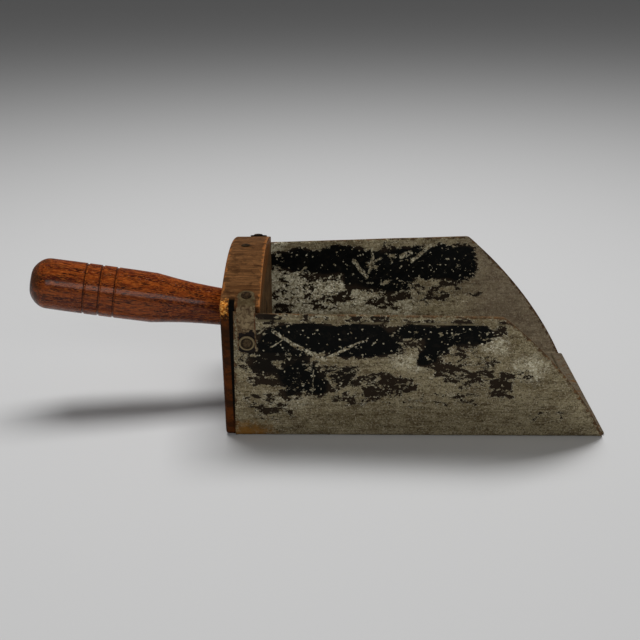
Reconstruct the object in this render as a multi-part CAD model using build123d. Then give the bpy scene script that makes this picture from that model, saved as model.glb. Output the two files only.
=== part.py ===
from build123d import *
import os
from math import asin, cos, radians, sin, sqrt

# Hand scoop: one folded tin sheet nailed round a wooden board, with a turned wooden handle.
# Millimetres, +Z up, mouth towards +X, handle towards -X.
# The frame's origin is the middle of the flat underside. The shapes below are worked out from
# the sheet's rear edge (X = 0) and are moved to the frame's origin when they are written.

# Folded sheet
sheet = 0.6
pan_length = 215.0
seat_length = 13.0
bottom_width_rear = 117.0
bottom_width_lip = 123.5
top_width_rear = 133.5
top_width_corner = 152.0
wall_height_rear = 81.0
wall_height_corner = 82.0
bend_radius = 3.0
top_edge_end = 149.5
cut_bulge = ((200.0, 33.0), (172.0, 64.0))
corner_round = 6.0
tab_height = 82.0
rear_edge_top = 0.6
rear_edge_bottom = -1.3

# Folded edges
hem_height = 5.5
hem_fold = 1.3
hem_round = 0.9
lip_hem_length = 6.0
lip_hem_height = 2.4
lip_overhang = 1.4

# Wooden board
board_front = 15.5
flange_back = -7.0
flange_front = -1.8
flange_inset = 0.3
board_top = 84.5
board_camber = 12.5
board_corner = 1.2
flange_corner = 3.5
flange_edge_round = 1.8
fit_gap = 0.1

# Handle
handle_length = 122.0
handle_radius = 15.5
handle_tilt = 10.5
handle_swing = 5.5
handle_root_height = 59.0
neck_profile = ((11.0, -6.0), (11.8, 13.0), (13.0, 29.0), (14.1, 38.0))
grip_start = 47.5
grip_end = 110.5
grip_swell = 0.1
end_profile = ((13.3, 117.2), (9.0, 121.0))
groove_places = (32.8, 41.8, 50.8)
groove_radius = 0.8
groove_rise = 0.3

# Corner straps
strap_width = 10.5
strap_thickness = 0.8
strap_start = 2.4
strap_bottom = 56.5
strap_bend = 1.6
strap_end_round = 3.0
near_strap_reach = 13.6
far_strap_reach = 14.0

# Nails and screw
side_nail_height = 62.5
side_nail_head = 4.5
top_nail_head = 3.0
top_nail_back = 4.3
nail_radius = 1.2
nail_length = 20.0
board_nail_place = (3.0, 8.5)
board_nail_head = 2.9
bottom_nail_spread = 40.0
screw_radius = 2.4
screw_grip = 32.0
screw_head_radius = 4.8
screw_head_depth = 2.6
screw_slot_width = 1.1
screw_slot_depth = 1.0
screw_point_length = 6.0
screw_point_radius = 0.4
hole_gap = 0.05

side_slope = (top_width_rear - bottom_width_rear) / 2 / wall_height_rear
board_mid = board_front / 2
strap_middle = strap_start + strap_width / 2
far_side = Plane.XZ


def outer_y(z):
    """Distance from the middle plane to the sheet's outer face where it is nailed to the board."""
    return bottom_width_rear / 2 + side_slope * z


camber_radius = (outer_y(board_top) ** 2 + board_camber**2) / (2 * board_camber)


def crown(y):
    """Height of the board's cambered top at y."""
    return board_top + board_camber - camber_radius + sqrt(camber_radius**2 - y**2)


def sheet_section(x, bottom, slope, height, hem):
    """U-shaped cross-section of the sheet at x. With a hem, its top edges are folded outwards."""
    across = sheet * sqrt(1 + slope**2)
    top_y = bottom / 2 + slope * height
    inner_floor = bottom / 2 + slope * sheet - across
    side = [(bottom / 2, 0)]
    if hem:
        fold_y = bottom / 2 + slope * (height - hem_height)
        side += [(fold_y, height - hem_height), (fold_y + hem_fold, height - hem_height)]
        side += [(top_y + hem_fold, height)]
    else:
        side += [(top_y, height)]
    side += [(top_y - across, height), (inner_floor, sheet)]
    outline = [(-y, z) for y, z in reversed(side[:-2])] + side
    outline += [(-inner_floor, sheet), (-(top_y - across), height)]
    face = make_face(Polyline(*outline, close=True).edges())
    outside = [v for v in face.vertices() if abs(v.Y) < sheet / 2]
    face = fillet(outside, bend_radius)
    inside = [v for v in face.vertices() if abs(v.Y - sheet) < sheet / 4 and abs(v.X) > inner_floor - 0.01]
    face = fillet(inside, bend_radius - sheet)
    if hem:
        edge = [v for v in face.vertices() if v.Y > height - 0.01]
        face = fillet(edge, hem_round)
    return Plane.YZ.offset(x) * face


def side_profile():
    """Side view of the sheet: slanting rear edge, straight top edge and a bulging cut to the lip."""
    clear = 0.02
    beyond = 10.0
    top = wall_height_corner + clear
    rise = (wall_height_corner - wall_height_rear) / (top_edge_end - seat_length)
    middle = top_edge_end / 2
    cut = Bezier((pan_length, 0), *cut_bulge, (top_edge_end, top))
    rest = Polyline(
        (top_edge_end, top),
        (middle, top - rise * middle),
        (middle, top + beyond),
        (rear_edge_top, top + beyond),
        (rear_edge_top, tab_height),
        (rear_edge_bottom, 0),
        (rear_edge_bottom, -beyond),
        (pan_length, -beyond),
        (pan_length, 0),
    )
    face = make_face(cut.edges() + rest.edges())
    corner = face.vertices().sort_by_distance((top_edge_end, top))[0]
    face = fillet(corner, corner_round)
    return extrude(Plane.XZ * face, amount=top_width_corner, both=True)


def make_scoop_pan():
    """Bottom, two walls, hems and lip, all one folded sheet."""
    reach = (pan_length - seat_length) / (top_edge_end - seat_length)
    corner_bottom = bottom_width_rear + (bottom_width_lip - bottom_width_rear) / reach
    corner_slope = (top_width_corner - corner_bottom) / 2 / wall_height_corner
    lip_slope = side_slope + (corner_slope - side_slope) * reach
    lip_height = wall_height_rear + (wall_height_corner - wall_height_rear) * reach
    seat = sheet_section(rear_edge_bottom, bottom_width_rear, side_slope, tab_height, False)
    seat = extrude(seat, amount=seat_length - rear_edge_bottom, dir=(1, 0, 0))
    flare = loft(
        [
            sheet_section(seat_length, bottom_width_rear, side_slope, wall_height_rear, True),
            sheet_section(pan_length, bottom_width_lip, lip_slope, lip_height, True),
        ],
        ruled=True,
    )
    pan = (seat + flare) & side_profile()
    nose = Rectangle(lip_hem_length + lip_overhang, lip_hem_height, align=(Align.MAX, Align.MIN))
    nose = fillet(nose.vertices(), lip_hem_height / 2 - 0.05)
    nose = Plane.XZ * Pos(pan_length + lip_overhang, 0) * nose
    lip_width = bottom_width_lip - 2 * bend_radius
    return pan + extrude(nose, amount=lip_width / 2, both=True)


def board_outline(inset, corner, bottom):
    """End view of the board: leaning sides and a cambered top, set in from the sheet's outer face."""
    low = outer_y(bottom) - inset
    high = outer_y(board_top) - inset
    camber = ThreePointArc((-high, crown(high)), (0, crown(0)), (high, crown(high)))
    rest = Polyline((high, crown(high)), (low, bottom), (-low, bottom), (-high, crown(high)))
    face = make_face(camber.edges() + rest.edges())
    top = [v for v in face.vertices() if v.Y > bottom + 0.01]
    face = fillet(top, corner)
    base = [v for v in face.vertices() if v.Y < bottom + 0.01]
    return fillet(base, bend_radius)


def make_board():
    """Board with a thicker flange behind the sheet, rounded and worn at the back."""
    wall = sheet * sqrt(1 + side_slope**2)
    body = Plane.YZ.offset(flange_front) * board_outline(wall + fit_gap, board_corner, sheet + fit_gap)
    body = extrude(body, amount=board_front - flange_front, dir=(1, 0, 0))
    flange = Plane.YZ.offset(flange_back) * board_outline(flange_inset, flange_corner, sheet + fit_gap)
    flange = extrude(flange, amount=flange_front - flange_back, dir=(1, 0, 0))
    back = flange.faces().sort_by(Axis.X)[0]
    flange = fillet(back.edges(), flange_edge_round)
    return body + flange


def handle_plane():
    """Plane at the handle's root whose Z runs along the handle, away from the board."""
    lean = radians(handle_tilt)
    swing = radians(handle_swing)
    along = (-cos(lean) * cos(swing), -cos(lean) * sin(swing), sin(lean))
    return Plane(origin=(flange_back, 0, handle_root_height), x_dir=(0, 1, 0), z_dir=along)


def make_handle():
    """Turned handle: a necked root, a full grip with three grooves and a rounded end."""
    grip_radius = handle_radius - grip_swell
    neck = Spline(*neck_profile, (grip_radius, grip_start))
    grip = ThreePointArc(
        (grip_radius, grip_start),
        (handle_radius + grip_swell, (grip_start + grip_end) / 2),
        (grip_radius, grip_end),
    )
    end = Spline((grip_radius, grip_end), *end_profile, (0, handle_length), tangents=[(0, 1), (-1, 0)])
    root_radius, root_start = neck_profile[0]
    core = Polyline((0, handle_length), (0, root_start), (root_radius, root_start))
    face = make_face(neck.edges() + grip.edges() + end.edges() + core.edges())
    for place in groove_places:
        face -= Pos(handle_radius + groove_rise, handle_length - place) * Circle(groove_radius)
    turned = revolve(Plane.XZ * face, Axis.Z)
    turned = handle_plane().location * turned
    room = 4 * handle_length
    behind = Box(room, room, room, align=(Align.MAX, Align.CENTER, Align.CENTER))
    return turned & (Pos(flange_back, 0, 0) * behind)


def strap_bar(reach):
    """Bent tin strap on the near side: up the wall, over the board's corner and along its top."""
    touch_y = outer_y(board_top) - reach / 2
    top_lean = asin(touch_y / camber_radius)
    y = -touch_y - fit_gap * sin(top_lean)
    z = crown(touch_y) + fit_gap * cos(top_lean)
    run = (y + outer_y(z) + fit_gap) / (cos(top_lean) + side_slope * sin(top_lean))
    corner = (y - run * cos(top_lean), z - run * sin(top_lean))
    foot = (-outer_y(strap_bottom) - fit_gap, strap_bottom)
    tip = (corner[0] + reach * cos(top_lean), corner[1] + reach * sin(top_lean))
    path = FilletPolyline(foot, corner, tip, radius=strap_bend)
    band = make_face(offset(path, strap_thickness, side=Side.LEFT).edges())
    bar = extrude(Plane.YZ.offset(strap_start) * band, amount=strap_width, dir=(1, 0, 0))
    room = 2 * wall_height_corner
    rounded = SlotCenterToCenter(room, strap_width, rotation=90)
    plan = extrude(Pos(strap_middle, tip[0] - (strap_width + room) / 2) * rounded, amount=room)
    shield = Pos(strap_middle, strap_bottom + room / 2) * RectangleRounded(strap_width, room, strap_end_round)
    shield = extrude(Plane.XZ * shield, amount=room, both=True)
    return (bar & plan & shield), top_lean, tip


def nail(head, shape, depth):
    """Nail with its head above Z = 0 and its shank below."""
    body = Pos(0, 0, -depth) * Cylinder(nail_radius, depth, align=(Align.CENTER, Align.CENTER, Align.MIN))
    outline = [(head * r, z) for r, z in shape]
    face = make_face(Polyline((0, 0), (head, 0), *outline, close=True).edges())
    return body + revolve(Plane.XZ * face, Axis.Z)


ring_head = ((1.0, 0.5), (0.9, 1.0), (0.78, 1.0), (0.6, 0.55), (0.25, 0.5), (0.0, 0.75))
plain_head = ((1.0, 0.3), (0.75, 0.8), (0.3, 1.0), (0.0, 1.0))


def side_nail_plane():
    """Plane on the near strap's outer face, with Z pointing out of the board."""
    y = -outer_y(side_nail_height) - fit_gap - strap_thickness * sqrt(1 + side_slope**2)
    out = (0, -1, -side_slope)
    return Plane(origin=(strap_middle, y, side_nail_height), x_dir=(1, 0, 0), z_dir=out)


def top_nail_plane(tip, top_lean):
    """Plane on the near strap's top leg, near its rounded end."""
    y = tip[0] - top_nail_back * cos(top_lean) - strap_thickness * sin(top_lean)
    z = tip[1] - top_nail_back * sin(top_lean) + strap_thickness * cos(top_lean)
    up = (0, -sin(top_lean), cos(top_lean))
    return Plane(origin=(strap_middle, y, z), x_dir=(1, 0, 0), z_dir=up)


def bore(plane, radius, depth):
    """Straight hole along a plane's Z, open above the plane."""
    above = 5.0
    hole = Cylinder(radius, depth + above, align=(Align.CENTER, Align.CENTER, Align.MIN))
    return plane.location * Pos(0, 0, -depth) * hole


parts = {"scoop_pan": make_scoop_pan(), "back_board": make_board(), "handle": make_handle()}

# Straps and their nails, one pair on each side of the board
for side, reach in (("near", near_strap_reach), ("far", far_strap_reach)):
    strap, top_lean, tip = strap_bar(reach)
    side_plane = side_nail_plane()
    top_plane = top_nail_plane(tip, top_lean)
    side_hole = bore(side_plane, nail_radius + hole_gap, nail_length + hole_gap)
    top_hole = bore(top_plane, nail_radius + hole_gap, nail_length + hole_gap)
    pieces = {
        f"corner_strap_{side}": strap - side_hole - top_hole,
        f"strap_side_nail_{side}": side_plane.location * nail(side_nail_head, ring_head, nail_length),
        f"strap_top_nail_{side}": top_plane.location * nail(top_nail_head, plain_head, nail_length),
    }
    if side == "far":
        pieces = {name: mirror(piece, about=far_side) for name, piece in pieces.items()}
        side_hole = mirror(side_hole, about=far_side)
        top_hole = mirror(top_hole, about=far_side)
    parts.update(pieces)
    parts["scoop_pan"] -= side_hole
    parts["back_board"] = parts["back_board"] - side_hole - top_hole

# Nail in the top of the board
nail_x, nail_y = board_nail_place
tilt = asin(nail_y / camber_radius)
top_spot = Plane(origin=(nail_x, nail_y, crown(nail_y)), x_dir=(1, 0, 0), z_dir=(0, sin(tilt), cos(tilt)))
parts["board_top_nail"] = top_spot.location * nail(board_nail_head, plain_head, nail_length)
parts["back_board"] -= bore(top_spot, nail_radius + hole_gap, nail_length + hole_gap)

# Nails up through the bottom of the sheet, their flat heads level with its underside
bottom_nails = []
for y in (-bottom_nail_spread, 0, bottom_nail_spread):
    foot = Plane(origin=(board_mid, y, sheet), x_dir=(1, 0, 0), z_dir=(0, 0, -1))
    flat_head = Cylinder(board_nail_head, sheet, align=(Align.CENTER, Align.CENTER, Align.MIN))
    shank = Cylinder(nail_radius, nail_length, align=(Align.CENTER, Align.CENTER, Align.MAX))
    bottom_nails.append(foot.location * (flat_head + shank))
    parts["scoop_pan"] -= bore(foot, board_nail_head + hole_gap, 0.2)
    parts["back_board"] -= bore(foot, nail_radius + hole_gap, nail_length + hole_gap)
parts["bottom_nails"] = Compound(bottom_nails)

# Wood screw through the board into the handle, its slotted head sunk level with the board's front
seat = Plane(origin=(board_front, 0, handle_root_height), x_dir=(0, 1, 0), z_dir=(1, 0, 0))
screw_length = board_front - flange_back + screw_grip
stem_length = screw_length - screw_point_length
below = (Align.CENTER, Align.CENTER, Align.MAX)
head = Cone(screw_radius, screw_head_radius, screw_head_depth, align=below)
stem = Cylinder(screw_radius, stem_length, align=below)
point = Cone(screw_point_radius, screw_radius, screw_point_length, align=below)
slot = Box(3 * screw_head_radius, screw_slot_width, 2 * screw_slot_depth)
parts["handle_screw"] = seat.location * (head + stem + Pos(0, 0, -stem_length) * point - slot)
screw_hole = bore(seat, screw_radius + hole_gap, screw_length + 1)
parts["back_board"] -= screw_hole + seat.location * head
parts["handle"] -= screw_hole

os.makedirs("parts", exist_ok=True)
for name, shape in parts.items():
    export_step(Pos(-pan_length / 2, 0, 0) * shape, f"parts/{name}.step")
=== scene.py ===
import math

import bmesh
import bpy
from mathutils import Matrix, Vector, noise


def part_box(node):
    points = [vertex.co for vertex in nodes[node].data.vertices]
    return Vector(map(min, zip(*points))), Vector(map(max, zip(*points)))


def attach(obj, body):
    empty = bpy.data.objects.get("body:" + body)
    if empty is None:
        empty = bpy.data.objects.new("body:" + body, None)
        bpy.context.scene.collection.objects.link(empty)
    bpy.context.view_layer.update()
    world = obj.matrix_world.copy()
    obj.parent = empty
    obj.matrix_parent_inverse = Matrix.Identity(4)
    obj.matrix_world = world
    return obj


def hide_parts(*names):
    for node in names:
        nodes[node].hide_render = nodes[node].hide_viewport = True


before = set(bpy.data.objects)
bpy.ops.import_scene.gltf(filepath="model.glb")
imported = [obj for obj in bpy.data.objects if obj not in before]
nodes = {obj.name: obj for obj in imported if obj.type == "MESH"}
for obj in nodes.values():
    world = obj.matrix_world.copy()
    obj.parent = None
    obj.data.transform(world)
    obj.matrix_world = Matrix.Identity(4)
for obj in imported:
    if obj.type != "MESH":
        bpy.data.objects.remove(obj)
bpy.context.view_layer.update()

MM = 0.001

# Lengths of the pan in millimetres. Places on it are given from its rear edge and up from the floor, as in
# the part's own drawing, while the frame's origin is halfway along the pan.
PAN_LENGTH = 215.0
REAR_EDGE = -PAN_LENGTH / 2
WALL_HEIGHT = 82.0
HEM_HEIGHT = 5.5
SEAT_LENGTH = 13.0

# Control points of the walls' cut edge, from the lip to the top corner
CUT_CURVE = ((PAN_LENGTH, 0.0), (200.0, 33.0), (172.0, 64.0), (149.5, WALL_HEIGHT))

# Sides of the folded sheet, as numbers that the pan's material reads
NEAR_OUTSIDE, FAR_INSIDE, NEAR_INSIDE, FAR_OUTSIDE, FLOOR, UNDERSIDE = 1, 2, 3, 4, 5, 6

# Black paint that is left, as (side, x, z, half width, half height, share). On the floor and the underside
# the second place and the half height run along y.
PAINT_LEFT = (
    (NEAR_OUTSIDE, 54, 65.5, 43, 11, 1.0),
    (NEAR_OUTSIDE, 119, 70, 27, 7.5, 0.86),
    (NEAR_OUTSIDE, 112, 58, 10, 8, 0.86),
    (NEAR_OUTSIDE, 131, 58, 9, 7, 0.64),
    (NEAR_OUTSIDE, 148, 74, 5, 7, 0.68),
    (NEAR_OUTSIDE, 145, 52, 5, 4, 0.62),
    (NEAR_OUTSIDE, 24, 50, 21, 9, 0.76),
    (NEAR_OUTSIDE, 40, 40, 13, 13, 0.86),
    (NEAR_OUTSIDE, 20, 40, 12, 8, 0.64),
    (NEAR_OUTSIDE, 61, 41, 11, 9, 0.74),
    (NEAR_OUTSIDE, 88, 35, 17, 8, 0.66),
    (NEAR_OUTSIDE, 66, 28, 16, 6, 0.5),
    (NEAR_OUTSIDE, 130, 44, 16, 7, 0.62),
    (NEAR_OUTSIDE, 150, 36, 9, 9, 0.62),
    (NEAR_OUTSIDE, 165, 42, 9, 5, 0.46),
    (NEAR_OUTSIDE, 18, 20, 16, 10, 0.52),
    (NEAR_OUTSIDE, 112, 30, 34, 12, 0.36),
    (NEAR_OUTSIDE, 180, 15, 12, 7, 0.34),
    (NEAR_OUTSIDE, 22, 79, 8, 2.6, 0.72),
    (NEAR_OUTSIDE, 45, 79, 12, 2.6, 0.66),
    (NEAR_OUTSIDE, 79, 79, 18, 2.6, 0.68),
    (NEAR_OUTSIDE, 110, 79, 8, 2.2, 0.58),
    (NEAR_OUTSIDE, 129, 79, 9, 2.2, 0.5),
    (FAR_INSIDE, 48, 68, 32, 9, 0.98),
    (FAR_INSIDE, 82, 61, 16, 16, 0.84),
    (FAR_INSIDE, 101, 60, 15, 17, 0.84),
    (FAR_INSIDE, 128, 65, 20, 13, 0.95),
    (FAR_INSIDE, 146, 64, 12, 13, 0.95),
    (FAR_INSIDE, 24, 37, 6, 6, 0.7),
    (FAR_INSIDE, 44, 50, 28, 16, 0.43),
    (FAR_INSIDE, 52, 38, 5, 6, 0.62),
    (FAR_INSIDE, 67, 41, 6, 8, 0.6),
    (FAR_INSIDE, 22, 57, 4, 6, 0.55),
    (FAR_INSIDE, 92, 42, 12, 9, 0.6),
    (FAR_INSIDE, 118, 47, 26, 10, 0.5),
    (FAR_INSIDE, 146, 48, 14, 7, 0.34),
    (NEAR_INSIDE, 60, 66, 44, 12, 0.86),
    (NEAR_INSIDE, 128, 62, 28, 14, 0.78),
    (NEAR_INSIDE, 40, 32, 22, 14, 0.52),
    (NEAR_INSIDE, 96, 36, 26, 10, 0.44),
    (FAR_OUTSIDE, 48, 66, 37, 11, 0.94),
    (FAR_OUTSIDE, 112, 64, 34, 12, 0.74),
    (FAR_OUTSIDE, 34, 36, 20, 13, 0.62),
    (FAR_OUTSIDE, 86, 38, 22, 10, 0.55),
    (FAR_OUTSIDE, 140, 40, 20, 9, 0.48),
    (FAR_OUTSIDE, 60, 79, 44, 2.4, 0.7),
    (FLOOR, 34, 0, 20, 52, 0.66),
    (FLOOR, 100, 44, 60, 12, 0.56),
    (FLOOR, 92, -46, 54, 10, 0.54),
    (UNDERSIDE, 60, 22, 50, 30, 0.5),
    (UNDERSIDE, 110, -34, 60, 18, 0.46),
    (UNDERSIDE, 186, 8, 20, 40, 0.24),
)

# Pale, whitened tin, in the same form
PALE_TIN = (
    (FAR_INSIDE, 48, 47, 34, 15, 1.0),
    (FAR_INSIDE, 90, 38, 22, 10, 0.6),
    # Strip beside the board on the far inside: bare tin, painted lighter still as painted light against the
    # shade that the board casts there.
    (FAR_INSIDE, 16, 56, 5, 28, 1.0),
    (NEAR_OUTSIDE, 168, 49, 10, 8, 0.5),
    (NEAR_OUTSIDE, 100, 52, 12, 6, 0.45),
    (NEAR_OUTSIDE, 30, 25, 12, 5, 0.4),
    (NEAR_OUTSIDE, 148, 64, 6, 5, 0.5),
    (FLOOR, 120, 0, 70, 30, 0.5),
)

# Long scratches down to the tin, as (side, start x, start z, end x, end z, width)
SCRATCHES = (
    (NEAR_OUTSIDE, 22.5, 70, 34, 61.5, 2.0),
    (NEAR_OUTSIDE, 33, 62, 52, 52, 2.6),
    (NEAR_OUTSIDE, 75.5, 65, 66, 61.5, 1.2),
    (NEAR_OUTSIDE, 67, 61.5, 55, 54.5, 1.8),
    (NEAR_OUTSIDE, 28, 64.5, 21, 59.5, 0.8),
    (NEAR_OUTSIDE, 45, 45, 44.5, 22, 0.6),
    (FAR_INSIDE, 71.5, 67, 80.5, 56, 2.6),
    (FAR_INSIDE, 84, 75, 84.5, 68, 1.6),
    (FAR_INSIDE, 84, 68, 82, 59, 1.8),
    (FAR_INSIDE, 85, 66, 91, 69, 1.3),
    (FAR_INSIDE, 111, 66, 124, 76.5, 2.4),
    (FAR_INSIDE, 104, 69.5, 110, 72, 3.2),
    (FAR_INSIDE, 31, 57, 39, 63.5, 1.3),
    (FAR_OUTSIDE, 60, 72, 98, 52, 1.8),
    (FAR_OUTSIDE, 120, 70, 104, 56, 1.2),
    (NEAR_INSIDE, 40, 60, 66, 74, 1.6),
)

# The noise node's values stay within about this much of one half
NOISE_SPREAD = 0.12

# Places of the handle's grooves from its root, in millimetres
GROOVES = (89.2, 80.2, 71.2)

# The pan's mesh is cut by planes this far apart, in millimetres, and its edges are sharp above this angle
FINE_STEP = 3.0
SHARP_DEGREES = 32

# The camera that was solved from the photo: place in metres, angles in degrees, and lens in millimetres
CAMERA_PLACE = (-0.0552, -0.6135, 0.2902)
CAMERA_YAW = 0.34
CAMERA_BELOW_LEVEL = 21.33
CAMERA_ROLL = -0.33
LENS = 59.1
SENSOR_WIDTH = 36

# Half the width of the floor in metres, and the strength of the grey surroundings
FLOOR_REACH = 12
SURROUNDINGS = 0.12


def cad_of(node, end):
    """Lowest or highest corner of a CAD node."""
    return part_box(node)[0 if end == "low" else 1]


def srgb(red, green, blue):
    """Linear colour of an 8-bit sRGB one."""
    parts = []
    for value in (red, green, blue):
        share = value / 255
        parts.append(share / 12.92 if share <= 0.04045 else ((share + 0.055) / 1.055) ** 2.4)
    return (*parts, 1.0)


def smooth(value, low, high):
    """0 below low, 1 above high, and a smooth step between them."""
    t = min(1.0, max(0.0, (value - low) / (high - low)))
    return t * t * (3 - 2 * t)


class Graph:
    """A material's node tree, with a short call for each kind of node used here."""

    def __init__(self, name):
        self.material = bpy.data.materials.new(name)
        self.material.use_nodes = True
        self.tree = self.material.node_tree
        self.shader = self.tree.nodes["Principled BSDF"]
        self.place = self.tree.nodes.new("ShaderNodeTexCoord").outputs["Object"]

    def set(self, socket, value):
        """Links a socket to another one's output, or sets a plain value on it."""
        if isinstance(value, bpy.types.NodeSocket):
            self.tree.links.new(value, socket)
        else:
            socket.default_value = value

    def math(self, operation, first, second=0.0):
        """Result of a math node."""
        node = self.tree.nodes.new("ShaderNodeMath")
        node.operation = operation
        self.set(node.inputs[0], first)
        self.set(node.inputs[1], second)
        return node.outputs[0]

    def vector(self, operation, first, second=(0, 0, 0), scale=1.0):
        """Result of a vector math node."""
        node = self.tree.nodes.new("ShaderNodeVectorMath")
        node.operation = operation
        self.set(node.inputs[0], first)
        self.set(node.inputs[1], second)
        if operation == "SCALE":
            self.set(node.inputs["Scale"], scale)
        return node.outputs["Value" if operation in ("LENGTH", "DOT_PRODUCT") else "Vector"]

    def parts(self, place):
        """X, Y and Z of a vector."""
        node = self.tree.nodes.new("ShaderNodeSeparateXYZ")
        self.set(node.inputs[0], place)
        return node.outputs

    def noise(self, place, size, detail=4.0, roughness=0.55, warp=0.0, colour=False):
        """Noise with lumps about size millimetres across, spread evenly from 0 to 1, or as a raw colour."""
        node = self.tree.nodes.new("ShaderNodeTexNoise")
        self.set(node.inputs["Vector"], place)
        node.inputs["Scale"].default_value = 1 / (size * MM)
        node.inputs["Detail"].default_value = detail
        node.inputs["Roughness"].default_value = roughness
        node.inputs["Distortion"].default_value = warp
        if colour:
            return node.outputs["Color"]
        return self.step(node.outputs["Fac"], 0.5 - NOISE_SPREAD, 0.5 + NOISE_SPREAD)

    def stretched(self, place, stretch, size, detail=4.0, roughness=0.55, warp=0.0):
        """Noise that is drawn out along the axes by the three factors."""
        squeezed = self.vector("DIVIDE", place, stretch)
        return self.noise(squeezed, size, detail, roughness, warp)

    def cells(self, place, size):
        """A random number from 0 to 1 for each angular cell about size millimetres across."""
        node = self.tree.nodes.new("ShaderNodeTexVoronoi")
        self.set(node.inputs["Vector"], place)
        node.inputs["Scale"].default_value = 1 / (size * MM)
        return self.parts(node.outputs["Color"])[0]

    def step(self, value, low, high, to_low=0.0, to_high=1.0):
        """Smooth step from to_low to to_high as value goes from low to high."""
        node = self.tree.nodes.new("ShaderNodeMapRange")
        node.interpolation_type = "SMOOTHSTEP"
        for name, number in (("Value", value), ("From Min", low), ("From Max", high)):
            self.set(node.inputs[name], number)
        self.set(node.inputs["To Min"], to_low)
        self.set(node.inputs["To Max"], to_high)
        return node.outputs["Result"]

    def mix(self, share, first, second):
        """Colour between first and second."""
        node = self.tree.nodes.new("ShaderNodeMix")
        node.data_type = "RGBA"
        self.set(node.inputs["Factor"], share)
        self.set(node.inputs[6], first)
        self.set(node.inputs[7], second)
        return node.outputs[2]

    def blend(self, share, first, second):
        """Number between first and second."""
        node = self.tree.nodes.new("ShaderNodeMix")
        self.set(node.inputs["Factor"], share)
        self.set(node.inputs[2], first)
        self.set(node.inputs[3], second)
        return node.outputs[0]

    def is_side(self, side, *choices):
        """1 where the side's number is one of the choices, and 0 elsewhere."""
        found = 0.0
        for choice in choices:
            found = self.math("ADD", found, self.math("COMPARE", side, choice))
        return found

    def attribute(self, name):
        """Number that the mesh stores under this name."""
        node = self.tree.nodes.new("ShaderNodeAttribute")
        node.attribute_name = name
        return node.outputs["Fac"]

    def bump(self, height, depth, under=None):
        """Normal of a relief that is depth millimetres deep."""
        node = self.tree.nodes.new("ShaderNodeBump")
        node.inputs["Distance"].default_value = depth * MM
        self.set(node.inputs["Height"], height)
        if under is not None:
            self.set(node.inputs["Normal"], under)
        return node.outputs["Normal"]

    def finish(self, **sockets):
        """Sets the shader's sockets, named with _ for a space, and returns the material."""
        for name, value in sockets.items():
            self.set(self.shader.inputs[name.replace("_", " ")], value)
        return self.material


def flaky(graph, place, size):
    """Noise with angular outlines, as old paint flakes, from 0 to 1."""
    broad = graph.noise(place, size, 7, 0.66, 0.7)
    bend = graph.vector("SUBTRACT", graph.noise(place, size * 0.3, 4, 0.7, colour=True), (0.5, 0.5, 0.5))
    bent = graph.vector("ADD", place, graph.vector("SCALE", bend, scale=size * 0.7 * MM))
    chips = graph.blend(0.35, graph.cells(bent, size * 0.36), graph.cells(bent, size * 0.14))
    return graph.blend(0.5, broad, chips)


def scratch_mask(graph, place, side):
    """1 on the long scratches and 0 elsewhere."""
    flat = graph.vector("MULTIPLY", place, (1, 0, 1))
    wobble = graph.vector("SUBTRACT", graph.noise(place, 3.5, 3, 0.6, colour=True), (0.5, 0.5, 0.5))
    flat = graph.vector("ADD", flat, graph.vector("SCALE", wobble, scale=2.4 * MM))
    marks = 0.0
    for where, x0, z0, x1, z1, width in SCRATCHES:
        start = Vector(((x0 + REAR_EDGE) * MM, 0, z0 * MM))
        run = Vector(((x1 - x0) * MM, 0, (z1 - z0) * MM))
        offset = graph.vector("SUBTRACT", flat, start)
        along = graph.vector("DOT_PRODUCT", offset, run / run.length_squared)
        along = graph.math("MAXIMUM", graph.math("MINIMUM", along, 1.0), 0.0)
        foot = graph.vector("SCALE", tuple(run), scale=along)
        away = graph.vector("LENGTH", graph.vector("SUBTRACT", offset, foot))
        mark = graph.step(away, width * 0.38 * MM, width * 0.62 * MM, 1.0, 0.0)
        here = graph.is_side(side, where)
        marks = graph.math("MAXIMUM", marks, graph.math("MULTIPLY", mark, here))
    return marks


def tin_colour(graph, place, pale):
    """Colour of bare, dull tin: olive grey with brown mottling, fine streaks along the pan, and specks."""
    colour = graph.mix(graph.noise(place, 14, 7, 0.62, 0.4), srgb(118, 106, 79), srgb(148, 137, 108))
    low = graph.step(graph.parts(place)[2], 6 * MM, 34 * MM, 0.7, 0.0)
    colour = graph.mix(low, colour, srgb(176, 158, 122))
    blotch = graph.step(graph.noise(place, 4.5, 8, 0.72, 0.8), 0.6, 0.9, 0.0, 0.55)
    colour = graph.mix(blotch, colour, srgb(84, 66, 46))
    streak = graph.step(graph.stretched(place, (10, 1, 1), 1.5, 5, 0.62), 0.55, 0.95, 0.0, 0.5)
    colour = graph.mix(streak, colour, srgb(158, 147, 119))
    dark_streak = graph.step(graph.stretched(place, (8, 1, 1), 2.2, 6, 0.68), 0.62, 0.95, 0.0, 0.5)
    colour = graph.mix(dark_streak, colour, srgb(76, 62, 43))
    speck = graph.step(graph.noise(place, 0.9, 3, 0.6), 0.8, 0.96, 0.0, 0.65)
    colour = graph.mix(speck, colour, srgb(46, 37, 26))
    light = graph.step(graph.noise(place, 1.2, 4, 0.7), 0.82, 0.96, 0.0, 0.55)
    colour = graph.mix(light, colour, srgb(186, 176, 150))
    milky = graph.step(graph.noise(place, 2.6, 8, 0.8, 0.7), 0.3, 0.7)
    colour = graph.mix(graph.math("MULTIPLY", milky, pale), colour, srgb(202, 196, 170))
    fleck = graph.step(graph.cells(place, 0.8), 0.82, 0.86)
    return graph.mix(graph.math("MULTIPLY", fleck, pale), colour, srgb(236, 230, 208))


def rust_colour(graph, place):
    """Brown rust with a few orange spots."""
    colour = graph.mix(graph.noise(place, 2.6, 7, 0.68, 0.4), srgb(56, 39, 27), srgb(98, 73, 49))
    spots = graph.step(graph.noise(place, 5, 5, 0.66), 0.8, 1.0, 0.0, 0.4)
    return graph.mix(spots, colour, srgb(122, 84, 46))


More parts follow.
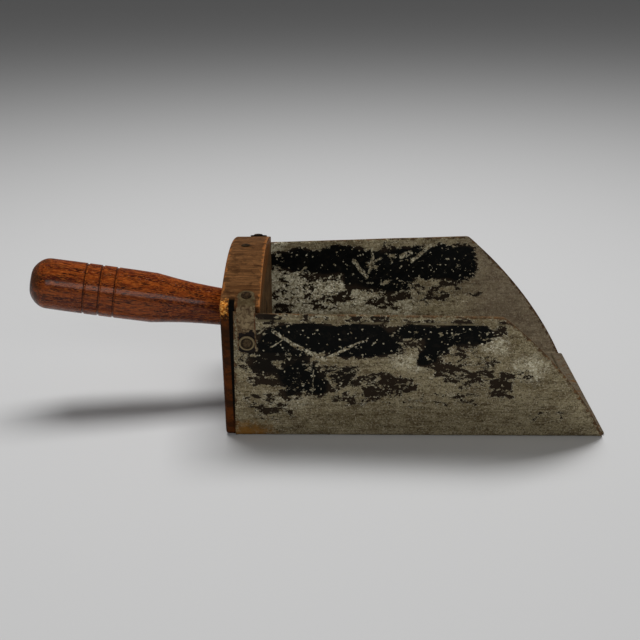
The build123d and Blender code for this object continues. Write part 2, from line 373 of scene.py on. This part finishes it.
def japanned_tin():
    """Black painted tin, flaked and scratched to the bare metal, with rust along its edges."""
    graph = Graph("japanned_tin")
    side = graph.attribute("side")
    place = graph.vector("ADD", graph.place, graph.vector("SCALE", (0.31, 0.17, 0.23), scale=side))
    paint_left = graph.attribute("paint")
    rust = graph.attribute("rust")

    long_place = graph.vector("DIVIDE", place, (1.5, 1, 1))
    lump = flaky(graph, long_place, 6.0)
    level = graph.math("SUBTRACT", 1.05, paint_left)
    excess = graph.math("SUBTRACT", lump, level)
    painted = graph.step(excess, -0.006, 0.006)
    chips = graph.step(graph.cells(place, 0.9), 0.975, 0.98, 1.0, 0.0)
    painted = graph.math("MULTIPLY", painted, chips)
    gritty = graph.step(graph.noise(place, 1.4, 4, 0.7), 0.16, 0.26)
    marks = graph.math("MULTIPLY", scratch_mask(graph, graph.place, side), gritty)
    painted = graph.math("MULTIPLY", painted, graph.math("SUBTRACT", 1.0, marks))

    rim_of_paint = graph.step(excess, -0.11, -0.01)
    pale = graph.math("MAXIMUM", graph.attribute("pale"), graph.math("MULTIPLY", rim_of_paint, 0.55))
    pale = graph.math("MAXIMUM", pale, graph.math("MULTIPLY", marks, 0.5))
    bare = tin_colour(graph, place, pale)
    along, _, height = graph.parts(graph.place)
    inner = graph.is_side(side, FAR_INSIDE, FLOOR)
    mouth = graph.step(along, (REAR_EDGE + 125) * MM, (REAR_EDGE + 175) * MM, 0.0, 0.55)
    bare = graph.mix(graph.math("MULTIPLY", mouth, inner), bare, srgb(112, 97, 83))
    solid = graph.step(paint_left, 0.6, 0.85)
    black = graph.mix(solid, srgb(40, 31, 22), srgb(6, 7, 6))
    dust = graph.step(graph.noise(place, 3, 6, 0.68), 0.75, 1.0, 0.0, 0.3)
    black = graph.mix(dust, black, srgb(36, 31, 24))
    colour = graph.mix(painted, bare, black)

    outside = graph.is_side(side, NEAR_OUTSIDE, FAR_OUTSIDE)
    from_fold = graph.math("SUBTRACT", height, (WALL_HEIGHT - HEM_HEIGHT) * MM)
    from_fold = graph.math("ABSOLUTE", graph.math("SUBTRACT", from_fold, 0.3 * MM))
    edge_line = graph.step(from_fold, 0.4 * MM, 1.0 * MM, 0.75, 0.0)
    broken = graph.step(graph.noise(place, 7, 5, 0.6), 0.1, 0.5)
    edge_line = graph.math("MULTIPLY", edge_line, broken)
    colour = graph.mix(graph.math("MULTIPLY", edge_line, outside), colour, srgb(112, 102, 78))

    crust = graph.math("ADD", rust, graph.math("MULTIPLY", graph.noise(place, 3.5, 8, 0.7, 0.5), 0.6))
    crust = graph.step(crust, 0.75, 1.0, 0.0, 0.92)
    colour = graph.mix(crust, colour, rust_colour(graph, place))
    from_corner = graph.vector("SUBTRACT", graph.place, ((REAR_EDGE + 6) * MM, 0, 3 * MM))
    from_corner = graph.vector("LENGTH", graph.vector("MULTIPLY", from_corner, (0.5, 0, 1.3)))
    sway = graph.math("MULTIPLY", graph.noise(place, 4, 6, 0.7), 5 * MM)
    from_corner = graph.math("ADD", from_corner, sway)
    orange = graph.math("MULTIPLY", graph.step(from_corner, 5 * MM, 14 * MM, 0.7, 0.0), outside)
    colour = graph.mix(orange, colour, srgb(136, 94, 36))

    clean = graph.math("SUBTRACT", 1.0, graph.math("MAXIMUM", painted, crust))
    metal = graph.math("MULTIPLY", clean, 0.6)
    rough = graph.step(graph.noise(place, 3, 6, 0.6), 0.0, 1.0, 0.4, 0.62)
    rough = graph.blend(painted, rough, 0.42)
    rough = graph.blend(crust, rough, 0.8)
    grain = graph.bump(graph.noise(place, 0.8, 5, 0.65), 0.03)
    dents = graph.bump(graph.noise(place, 11, 3, 0.5), 0.12, under=grain)
    skin = graph.bump(painted, 0.05, under=dents)
    graph.shader.inputs["Specular IOR Level"].default_value = 0.05
    return graph.finish(Base_Color=colour, Metallic=metal, Roughness=rough, Normal=skin)


def strap_tin(name, painted_share):
    """Tin of a corner strap, bare and dull or still mostly black, and black round its lower nail."""
    graph = Graph(name)
    place = graph.place
    along, _, height = graph.parts(place)
    colour = graph.mix(graph.noise(place, 5, 7, 0.65, 0.4), srgb(94, 76, 54), srgb(140, 122, 92))
    stain = graph.step(graph.noise(place, 2.2, 8, 0.72, 0.5), 0.55, 0.9, 0.0, 0.7)
    colour = graph.mix(stain, colour, srgb(58, 40, 26))
    top_leg = graph.step(height, 84.5 * MM, 86 * MM, 0.0, 0.6)
    colour = graph.mix(top_leg, colour, srgb(68, 58, 36))
    middle = (cad_of("corner_strap_near", "low").x + cad_of("corner_strap_near", "high").x) / 2
    from_middle = graph.math("ABSOLUTE", graph.math("SUBTRACT", along, middle))
    rim = graph.step(from_middle, 4.3 * MM, 4.7 * MM)
    ragged = graph.math("MULTIPLY", graph.noise(place, 2, 5, 0.7), 3 * MM)
    low = graph.step(graph.math("ADD", height, ragged), 70.5 * MM, 72 * MM, 1.2, 0.0)
    level = graph.math("SUBTRACT", 1.0 - painted_share, graph.math("SUBTRACT", low, rim))
    painted = graph.step(graph.math("SUBTRACT", flaky(graph, place, 4), level), -0.01, 0.01)
    colour = graph.mix(painted, colour, srgb(22, 15, 11))
    rusty = graph.step(graph.noise(place, 4, 5, 0.65), 0.45, 0.7, 0.0, 0.7)
    colour = graph.mix(graph.math("MULTIPLY", rim, rusty), colour, srgb(86, 46, 24))
    rough = graph.blend(painted, 0.55, 0.45)
    metal = graph.math("MULTIPLY", graph.math("SUBTRACT", 1.0, painted), 0.4)
    skin = graph.bump(graph.noise(place, 1.1, 5, 0.6), 0.06)
    skin = graph.bump(graph.noise(place, 5, 3, 0.5), 0.2, under=skin)
    graph.shader.inputs["Specular IOR Level"].default_value = 0.1
    return graph.finish(Base_Color=colour, Metallic=metal, Roughness=rough, Normal=skin)


def worn_iron(name, dark, light, ring_of=None):
    """Pitted iron between two colours. With ring_of, that nail's head gets a painted highlight on its rim
    round a painted shadow in its groove.
    """
    graph = Graph(name)
    place = graph.place
    colour = graph.mix(graph.noise(place, 1.8, 7, 0.68, 0.4), dark, light)
    pits = graph.step(graph.noise(place, 0.9, 4, 0.6), 0.6, 0.85, 0.0, 0.85)
    colour = graph.mix(pits, colour, srgb(22, 15, 10))
    if ring_of:
        middle = (cad_of(ring_of, "low") + cad_of(ring_of, "high")) / 2
        offset = graph.vector("SUBTRACT", place, tuple(middle))
        away = graph.vector("LENGTH", graph.vector("MULTIPLY", offset, (1, 0, 1)))
        groove = graph.math("ABSOLUTE", graph.math("SUBTRACT", away, 2.9 * MM))
        # Dark ring in the head's groove: painted shadow.
        colour = graph.mix(graph.step(groove, 0.2 * MM, 0.8 * MM, 0.75, 0.0), colour, srgb(30, 22, 14))
        # Bright outer rim of the head: painted highlight.
        colour = graph.mix(graph.step(away, 3.4 * MM, 3.8 * MM, 0.0, 0.75), colour, srgb(146, 130, 98))
    skin = graph.bump(graph.noise(place, 0.9, 5, 0.65), 0.15)
    graph.shader.inputs["Specular IOR Level"].default_value = 0.1
    graph.shader.inputs["Metallic"].default_value = 0.35
    return graph.finish(Base_Color=colour, Roughness=0.6, Normal=skin)


def board_wood():
    """Old board: orange brown sides, duller top and front, lighter orange edges along the top and a rubbed
    corner. The sides are painted darker as painted shade, the top and front lighter as painted light, and a
    near-black line on the sides is a painted shadow of the gap at the tin's rear edge.
    """
    graph = Graph("board_wood")
    place = graph.place
    along, across, height = graph.parts(place)
    rings = graph.stretched(place, (16, 1, 16), 1.6, 6, 0.62, 0.2)
    streaks = graph.stretched(place, (24, 1, 24), 0.5, 5, 0.7, 0.1)
    # The sides get a darker copy of the wood and the top a lighter one: painted shade on the sides and
    # painted light on the top, over the wood's own orange brown tone.
    sides = graph.mix(rings, srgb(46, 22, 6), srgb(86, 44, 14))
    top = graph.mix(rings, srgb(84, 54, 30), srgb(116, 80, 48))
    upper = graph.step(height, 79 * MM, 86 * MM)
    colour = graph.mix(upper, sides, top)
    low_corner = cad_of("back_board", "low")
    front_face = cad_of("back_board", "high").x
    front = graph.step(along, front_face - 0.6 * MM, front_face - 0.2 * MM)
    # The front face gets a lighter copy of the wood: painted light.
    colour = graph.mix(front, colour, graph.mix(rings, srgb(98, 72, 46), srgb(140, 108, 74)))
    colour = graph.mix(graph.step(streaks, 0.62, 0.9, 0.0, 0.75), colour, srgb(40, 23, 11))
    grime = graph.step(graph.noise(place, 8, 7, 0.66, 0.4), 0.5, 0.95, 0.0, 0.5)
    colour = graph.mix(grime, colour, srgb(46, 28, 14))

    rear = graph.math("SUBTRACT", along, low_corner.x)
    ahead = graph.math("SUBTRACT", front_face, along)
    edge = graph.math("MINIMUM", rear, ahead)
    edge = graph.math("ADD", edge, graph.math("MULTIPLY", graph.noise(place, 4, 6, 0.7), 2 * MM))
    edge = graph.math("MULTIPLY", graph.step(edge, 1.4 * MM, 2.6 * MM, 0.6, 0.0), upper)
    colour = graph.mix(edge, colour, srgb(158, 98, 50))

    rubbed = (low_corner.x, low_corner.y, 84 * MM)
    away = graph.vector("LENGTH", graph.vector("SUBTRACT", place, rubbed))
    away = graph.math("ADD", away, graph.math("MULTIPLY", graph.noise(place, 1.8, 5, 0.75), 7 * MM))
    fibres = graph.step(graph.noise(place, 1.2, 4, 0.7), 0.4, 0.8)
    bright = graph.mix(fibres, srgb(176, 98, 24), srgb(232, 168, 84))
    colour = graph.mix(graph.step(away, 6.5 * MM, 10 * MM, 0.9, 0.0), colour, bright)

    # A near-black line on the board's sides where the tin's rear edge meets it: painted shadow of the gap
    # between the tin and the board.
    from_gap = graph.math("ABSOLUTE", graph.math("SUBTRACT", along, (REAR_EDGE - 0.4) * MM))
    gap_shadow = graph.step(from_gap, 1.5 * MM, 1.9 * MM, 1.0, 0.0)
    gap_shadow = graph.math("MULTIPLY", gap_shadow, graph.step(graph.math("ABSOLUTE", across), 58 * MM, 60 * MM))
    gap_shadow = graph.math("MULTIPLY", gap_shadow, graph.step(height, 86.5 * MM, 88 * MM, 1.0, 0.0))
    colour = graph.mix(gap_shadow, colour, srgb(8, 6, 4))
    skin = graph.bump(streaks, 0.12)
    skin = graph.bump(graph.stretched(place, (1, 1, 10), 0.5, 3, 0.6), 0.06, under=skin)
    graph.shader.inputs["Specular IOR Level"].default_value = 0.04
    return graph.finish(Base_Color=colour, Roughness=0.55, Normal=skin)


def handle_axis():
    """The handle's root, and the direction from it to the handle's end."""
    points = [vertex.co for vertex in nodes["handle"].data.vertices]
    front = max(point.x for point in points)
    rim = [point for point in points if point.x > front - 0.1 * MM]
    low = Vector(min(point[i] for point in rim) for i in range(3))
    high = Vector(max(point[i] for point in rim) for i in range(3))
    root = (low + high) / 2
    end = max(points, key=lambda point: (point - root).length)
    return root, (end - root).normalized()


def handle_wood():
    """Varnished hardwood with dark pores along the handle, dark grooves and a worn end."""
    graph = Graph("handle_wood")
    root, along = handle_axis()
    turn = along.to_track_quat("X", "Z").inverted()
    mapping = graph.tree.nodes.new("ShaderNodeMapping")
    mapping.inputs["Rotation"].default_value = turn.to_euler()
    mapping.inputs["Location"].default_value = -(turn @ root)
    graph.set(mapping.inputs["Vector"], graph.place)
    place = mapping.outputs["Vector"]
    length = graph.parts(place)[0]
    figure = graph.stretched(place, (9, 1, 1), 5, 6, 0.62, 0.6)
    colour = graph.mix(figure, srgb(72, 20, 4), srgb(128, 58, 16))
    pores = graph.stretched(place, (10, 1, 1), 0.9, 5, 0.7, 0.2)
    colour = graph.mix(graph.step(pores, 0.55, 0.85, 0.0, 0.85), colour, srgb(28, 9, 4))
    fine = graph.stretched(place, (8, 1, 1), 0.4, 3, 0.62)
    colour = graph.mix(graph.step(fine, 0.62, 0.95, 0.0, 0.6), colour, srgb(172, 92, 34))
    worn = graph.math("ADD", length, graph.math("MULTIPLY", graph.noise(place, 5, 6, 0.65), 12 * MM))
    worn = graph.step(worn, 116 * MM, 128 * MM, 0.0, 0.75)
    colour = graph.mix(worn, colour, srgb(58, 36, 18))
    for groove in GROOVES:
        away = graph.math("ABSOLUTE", graph.math("SUBTRACT", length, groove * MM))
        colour = graph.mix(graph.step(away, 0.3 * MM, 0.7 * MM, 0.6, 0.0), colour, srgb(26, 10, 5))
    skin = graph.bump(pores, 0.08)
    skin = graph.bump(graph.noise(place, 9, 3, 0.5), 0.25, under=skin)
    rough = graph.step(graph.noise(place, 5, 5, 0.6), 0.0, 1.0, 0.26, 0.44)
    shader = graph.shader.inputs
    shader["Specular IOR Level"].default_value = 0.06
    shader["Coat Weight"].default_value = 0.28
    shader["Coat Roughness"].default_value = 0.14
    return graph.finish(Base_Color=colour, Roughness=rough, Normal=skin)


def cut_points(count=60):
    """Points along the wall's cut edge, from the lip to the top corner."""
    points = []
    for i in range(count + 1):
        t = i / count
        weights = ((1 - t) ** 3, 3 * t * (1 - t) ** 2, 3 * t**2 * (1 - t), t**3)
        x = sum(w * point[0] for w, point in zip(weights, CUT_CURVE))
        z = sum(w * point[1] for w, point in zip(weights, CUT_CURVE))
        points.append((x, z))
    return points


CUT = cut_points()


def from_cut(x, z):
    """Distance from the cut edge, in millimetres."""
    return min(math.hypot(point[0] - x, point[1] - z) for point in CUT)


def share_of(patches, side, x, z):
    """Largest share that the patches on this side give a point, fading out round each patch."""
    best = 0.0
    for where, middle_x, middle_z, half_x, half_z, share in patches:
        if where == side:
            away = (abs((x - middle_x) / half_x) ** 3 + abs((z - middle_z) / half_z) ** 3) ** (1 / 3)
            best = max(best, share * (1 - smooth(away, 0.78, 1.3)))
    return best


def side_of(face):
    """Which side of the folded sheet a face is on."""
    middle = face.calc_center_median()
    normal = face.normal
    if abs(normal.z) > 0.7 and middle.z < 12 * MM:
        return FLOOR if normal.z > 0 else UNDERSIDE
    outward = normal.y * middle.y > 0
    if middle.y < 0:
        return NEAR_OUTSIDE if outward else NEAR_INSIDE
    return FAR_OUTSIDE if outward else FAR_INSIDE


def rust_at(side, x, z):
    """How rusty the sheet is there, from 0 to 1."""
    if side in (FLOOR, UNDERSIDE):
        return max(0.4 * smooth(x, PAN_LENGTH - 8, PAN_LENGTH - 3), 0.5 * smooth(12 - x, 0, 12), 0.1)
    cut = 0.95 * (1 - smooth(from_cut(x, z), 0, 2.6)) if x > CUT_CURVE[-1][0] - 8 else 0
    corner = 0.66 * smooth(36 - x, 0, 30) * smooth(10 - z, 0, 8)
    foot = 0.22 * smooth(5 - z, 0, 4)
    rim = 0.66 * smooth(z, WALL_HEIGHT - 2.2, WALL_HEIGHT - 0.8)
    seat = (0.5 + 0.3 * smooth(z, 62, 68)) * smooth(3.5 - x, 0, 3)
    return max(cut, corner, foot, rim, seat, 0.05)


def wear_at(side, co):
    """The four numbers that the pan's material reads, at one point."""
    x = co.x / MM - REAR_EDGE
    z = co.z / MM
    height = co.y / MM if side in (FLOOR, UNDERSIDE) else z
    spot = Vector((x * 0.07, height * 0.1, side * 7.3))
    swayed_x = x + 8 * noise.noise(spot)
    swayed_height = height + 4 * noise.noise(spot + Vector((31.4, 17.2, 5.9)))
    paint = share_of(PAINT_LEFT, side, swayed_x, swayed_height)
    pale = share_of(PALE_TIN, side, swayed_x, swayed_height)
    return {"side": side, "paint": paint, "pale": pale, "rust": rust_at(side, x, z)}


def cut_fine(bm, step):
    """Cuts the mesh by evenly spaced planes along each axis, in metres."""
    for axis in range(3):
        low = min(v.co[axis] for v in bm.verts)
        high = max(v.co[axis] for v in bm.verts)
        normal = Vector((axis == 0, axis == 1, axis == 2))
        place = low + step * 0.5
        while place < high:
            parts = bm.verts[:] + bm.edges[:] + bm.faces[:]
            bmesh.ops.bisect_plane(bm, geom=parts, dist=1e-7, plane_co=normal * place, plane_no=normal)
            place += step


def dent(co):
    """How far a wall's point is pushed out by old dents, in metres."""
    x = co.x / MM - REAR_EDGE
    height = co.z / MM
    wave = noise.noise(Vector((co.x * 22, co.y * 10, co.z * 26)) + Vector((3.1, 0.7, 5.2)))
    small = noise.noise(Vector((co.x * 60, co.y * 10, co.z * 60)))
    free = smooth(x, SEAT_LENGTH, SEAT_LENGTH + 25) * smooth(height, 3, 22)
    return (wave * 0.9 + small * 0.18) * free * MM


def make_pan():
    """The folded sheet as a finely cut mesh, slightly dented, with its wear stored on it."""
    bm = bmesh.new()
    bm.from_mesh(nodes["scoop_pan"].data)
    bmesh.ops.remove_doubles(bm, verts=bm.verts[:], dist=2e-6)
    cut_fine(bm, FINE_STEP * MM)
    bmesh.ops.triangulate(bm, faces=[face for face in bm.faces if len(face.verts) > 4])
    bm.normal_update()
    layers = {name: bm.loops.layers.float.new(name) for name in ("side", "paint", "pale", "rust")}
    known = {}
    for face in bm.faces:
        side = side_of(face)
        for loop in face.loops:
            spot = (side, loop.vert)
            if spot not in known:
                known[spot] = wear_at(side, loop.vert.co)
            for name, value in known[spot].items():
                loop[layers[name]] = value
    for vertex in bm.verts:
        vertex.co.y += math.copysign(dent(vertex.co), vertex.co.y)
    mesh = bpy.data.meshes.new("pan_sheet")
    bm.to_mesh(mesh)
    bm.free()
    for name in ("custom_normal", "sharp_face"):
        if name in mesh.attributes:
            mesh.attributes.remove(mesh.attributes[name])
    mesh.materials.clear()
    mesh.materials.append(japanned_tin())
    mesh.shade_smooth()
    mesh.set_sharp_from_angle(angle=math.radians(SHARP_DEGREES))
    pan = bpy.data.objects.new("pan_sheet", mesh)
    bpy.context.scene.collection.objects.link(pan)
    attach(pan, "root")
    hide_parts("scoop_pan")


def give(material, *names):
    """Assigns a material to CAD nodes."""
    for name in names:
        nodes[name].data.materials.clear()
        nodes[name].data.materials.append(material)


def make_floor():
    """Plain pale floor that can be seen through from below."""
    bm = bmesh.new()
    bmesh.ops.create_grid(bm, x_segments=1, y_segments=1, size=FLOOR_REACH)
    mesh = bpy.data.meshes.new("floor")
    bm.to_mesh(mesh)
    bm.free()
    graph = Graph("floor_pale")
    graph.finish(Base_Color=srgb(199, 199, 199), Roughness=0.6)
    clear = graph.tree.nodes.new("ShaderNodeBsdfTransparent")
    below = graph.tree.nodes.new("ShaderNodeNewGeometry").outputs["Backfacing"]
    chosen = graph.tree.nodes.new("ShaderNodeMixShader")
    graph.set(chosen.inputs[0], below)
    graph.set(chosen.inputs[1], graph.shader.outputs[0])
    graph.set(chosen.inputs[2], clear.outputs[0])
    graph.set(graph.tree.nodes["Material Output"].inputs["Surface"], chosen.outputs[0])
    mesh.materials.append(graph.material)
    floor = bpy.data.objects.new("floor", mesh)
    bpy.context.scene.collection.objects.link(floor)


def make_light(name, place, target, size, power, shine=True):
    """Soft rectangular light that looks at a target. Without shine it makes no highlights."""
    data = bpy.data.lights.new(name, "AREA")
    data.shape = "RECTANGLE"
    data.size, data.size_y = size
    data.energy = power
    light = bpy.data.objects.new(name, data)
    light.location = place
    light.rotation_euler = (Vector(target) - Vector(place)).to_track_quat("-Z", "Y").to_euler()
    light.visible_glossy = shine
    bpy.context.scene.collection.objects.link(light)


def make_lights():
    """Dim surroundings, a large soft light overhead and behind, and a weaker one in front."""
    world = bpy.data.worlds.new("studio")
    world.use_nodes = True
    back = world.node_tree.nodes["Background"]
    back.inputs["Color"].default_value = (1, 1, 1, 1)
    back.inputs["Strength"].default_value = SURROUNDINGS
    bpy.context.scene.world = world
    make_light("overhead", (-0.1, 0.3, 1.2), (0, 0, 0.03), (0.9, 0.45), 15, False)
    make_light("front", (0.2, -1.5, 0.8), (0, 0, 0.04), (1.4, 0.6), 8)


def make_camera():
    """Camera in front of the near wall, looking slightly down."""
    data = bpy.data.cameras.new("camera")
    data.lens = LENS
    data.sensor_width = SENSOR_WIDTH
    data.clip_start = 0.01
    data.clip_end = 50
    camera = bpy.data.objects.new("camera", data)
    place = Matrix.Translation(CAMERA_PLACE)
    yaw = Matrix.Rotation(math.radians(CAMERA_YAW), 4, "Z")
    pitch = Matrix.Rotation(math.radians(90 - CAMERA_BELOW_LEVEL), 4, "X")
    roll = Matrix.Rotation(math.radians(CAMERA_ROLL), 4, "Z")
    camera.matrix_world = place @ yaw @ pitch @ roll
    bpy.context.scene.collection.objects.link(camera)
    bpy.context.scene.camera = camera


make_camera()
make_lights()
make_floor()
make_pan()
give(board_wood(), "back_board")
give(handle_wood(), "handle")
give(strap_tin("bare_tin", 0.1), "corner_strap_near")
give(strap_tin("black_tin", 0.9), "corner_strap_far")
nails = [name for name in nodes if "nail" in name]
give(worn_iron("nail_rust", srgb(34, 25, 17), srgb(82, 64, 44)), *nails)
near_nail = "strap_side_nail_near"
give(worn_iron("nail_bare", srgb(66, 52, 36), srgb(112, 94, 66), near_nail), near_nail)
give(worn_iron("screw_iron", srgb(24, 18, 13), srgb(58, 44, 30)), "handle_screw")

bpy.context.scene.view_settings.view_transform = "Standard"
